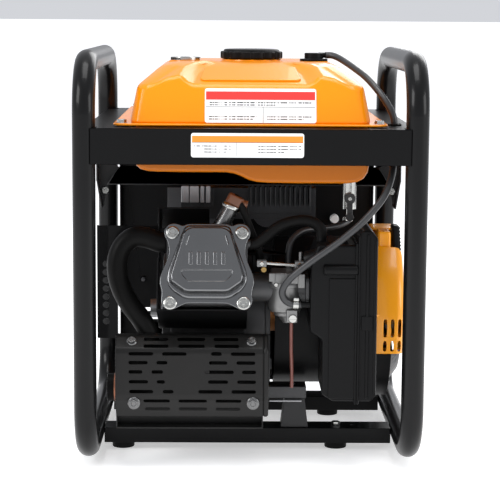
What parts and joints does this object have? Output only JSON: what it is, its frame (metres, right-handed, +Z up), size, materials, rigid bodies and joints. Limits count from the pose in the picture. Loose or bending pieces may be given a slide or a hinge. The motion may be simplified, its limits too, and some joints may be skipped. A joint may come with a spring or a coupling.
{
  "type": "portable generator",
  "caption": "Open-frame inverter generator: twin tube hoops around a slanted petrol engine with an overhead fuel tank, muffler guard, recoil starter and outlet panel.",
  "frame": {"origin": "on the ground under the middle of the frame", "axes": "+X to the recoil starter side, -Y to the muffler side, +Y to the outlet panel, +Z up"},
  "size_m": [0.43, 0.448, 0.52],
  "materials": {
    "black_tube": "satin black powder coat",
    "black_sheet": "satin black powder coat",
    "heat_black": "matte heat-resistant black",
    "tank_yellow": "glossy enamel",
    "cover_yellow": "glossy",
    "black_plastic": "fine grain",
    "socket_plastic": "smooth",
    "red_plastic": "smooth",
    "yellow_plastic": "smooth",
    "white_plastic": "smooth",
    "label_film": "printed film",
    "rubber": "matte",
    "hose_grey": "satin",
    "zinc": "zinc plated",
    "cast_aluminium": "as cast",
    "bright_steel": "pressed bright",
    "forged_steel": "machined",
    "piston_alloy": "machined",
    "copper_winding": "varnished",
    "ceramic": "glazed",
    "lever_black": "smooth",
    "foam": "open cell"
  },
  "bodies": {
    "frame": {"left_hoop": "black_tube", "right_hoop": "black_tube", "cross_panels": "black_sheet", "side_rails": "black_sheet", "cross_beam": "black_sheet", "inverter_module": "cast_aluminium", "base_rails": "black_sheet", "rubber_feet": "rubber", "frame_bolts": "zinc", "label_plates": "label_film", "tank_upper": "tank_yellow", "tank_lower": "tank_yellow", "filler_neck": "black_plastic", "fuel_gauge": "zinc", "rollover_valve": "black_plastic", "hose_grommet": "rubber", "vapour_hose": "hose_grey", "fuel_valve": "zinc", "fuel_hoses": "hose_grey", "crankcase": "cast_aluminium", "crankcase_cover": "cast_aluminium", "cylinder_barrel": "cast_aluminium", "cylinder_head": "cast_aluminium", "valve_cover": "bright_steel", "engine_bolts": "zinc", "engine_shroud": "black_plastic", "recoil_cover": "cover_yellow", "alternator_stator": "copper_winding", "spark_plug": "ceramic", "ignition_lead": "rubber", "ignition_coil": "black_plastic", "breather_hose": "rubber", "carburetor": "cast_aluminium", "air_box": "black_plastic", "air_box_cover": "black_plastic", "air_element": "foam", "exhaust_pipe": "heat_black", "muffler": "heat_black", "heat_shield": "heat_black", "exhaust_guard": "black_sheet", "engine_mounts": "rubber", "control_panel": "black_plastic", "panel_sockets": "socket_plastic"},
    "crank": {"crankshaft": "forged_steel", "flywheel_rotor": "forged_steel", "cooling_fan": "black_plastic"},
    "piston": {"piston": "piston_alloy"},
    "rod": {"connecting_rod": "forged_steel"},
    "starter_grip": {"starter_handle": "black_plastic"},
    "rope_pulley": {"recoil_pulley": "black_plastic"},
    "cap_seal": {"cap_gasket": "rubber"},
    "cap": {"fuel_cap": "black_plastic"},
    "needle": {"gauge_needle": "red_plastic"},
    "fuel_lever": {"fuel_valve_lever": "lever_black"},
    "choke": {"choke_lever": "lever_black"},
    "oil_plug": {"oil_cap": "yellow_plastic"},
    "run_switch": {"engine_switch": "red_plastic"},
    "economy_switch": {"eco_switch": "black_plastic"},
    "breaker": {"breaker_button": "white_plastic"},
    "flap": {"socket_flap": "socket_plastic"}
  },
  "joints": [
    {"name": "crank_turn", "type": "hinge", "parent": "frame", "child": "crank", "pos_m": [0, 0, 0.172], "axis": [1, 0, 0], "continuous": true},
    {"name": "piston_stroke", "type": "slide", "parent": "frame", "child": "piston", "axis": [0, -0.9063, 0.4226], "range_m": [-0.054, 0]},
    {"name": "rod_swing", "type": "hinge", "parent": "piston", "child": "rod", "pos_m": [-0.0525, -0.10423, 0.2206], "axis": [1, 0, 0], "range_deg": [-12, 12]},
    {"name": "handle_pull", "type": "slide", "parent": "frame", "child": "starter_grip", "axis": [1, 0, 0], "range_m": [0, 0.45], "stiffness_N_per_m": 40, "springref_m": -0.1},
    {"name": "pulley_turn", "type": "hinge", "parent": "frame", "child": "rope_pulley", "pos_m": [0, 0, 0.172], "axis": [1, 0, 0], "range_deg": [0, 560]},
    {"name": "cap_lift", "type": "slide", "parent": "frame", "child": "cap_seal", "axis": [0, 0, 1], "range_m": [0, 0.06]},
    {"name": "cap_turn", "type": "hinge", "parent": "cap_seal", "child": "cap", "pos_m": [0.0027, -0.02, 0.51], "axis": [0, 0, 1], "range_deg": [0, 120]},
    {"name": "needle_swing", "type": "hinge", "parent": "frame", "child": "needle", "pos_m": [-0.083, -0.03, 0.507], "axis": [0, 0, 1], "range_deg": [0, 95]},
    {"name": "fuel_lever_turn", "type": "hinge", "parent": "frame", "child": "fuel_lever", "pos_m": [0.129, -0.0925, 0.331], "axis": [0, 1, 0], "range_deg": [0, 90]},
    {"name": "choke_turn", "type": "hinge", "parent": "frame", "child": "choke", "pos_m": [0.06, -0.15, 0.249], "axis": [0, 0, 1], "range_deg": [-70, 0]},
    {"name": "oil_cap_turn", "type": "hinge", "parent": "frame", "child": "oil_plug", "pos_m": [0.006, -0.078, 0.112], "axis": [0, -1, 0], "range_deg": [0, 360]},
    {"name": "run_switch_rock", "type": "hinge", "parent": "frame", "child": "run_switch", "pos_m": [0.11, 0.201, 0.335], "axis": [1, 0, 0], "range_deg": [-25, 0]},
    {"name": "economy_switch_rock", "type": "hinge", "parent": "frame", "child": "economy_switch", "pos_m": [0.145, 0.201, 0.335], "axis": [1, 0, 0], "range_deg": [-25, 0]},
    {"name": "breaker_push", "type": "slide", "parent": "frame", "child": "breaker", "axis": [0, -1, 0], "range_m": [0, 0.004], "stiffness_N_per_m": 400},
    {"name": "flap_swing", "type": "hinge", "parent": "frame", "child": "flap", "pos_m": [0.03, 0.2135, 0.308], "axis": [1, 0, 0], "range_deg": [0, 110], "stiffness_Nm_per_rad": 0.02, "springref_deg": -17.19}
  ],
  "couplings": [
    {"joint": "pulley_turn", "follows": "handle_pull", "rad_per_m": 21.3}
  ]
}
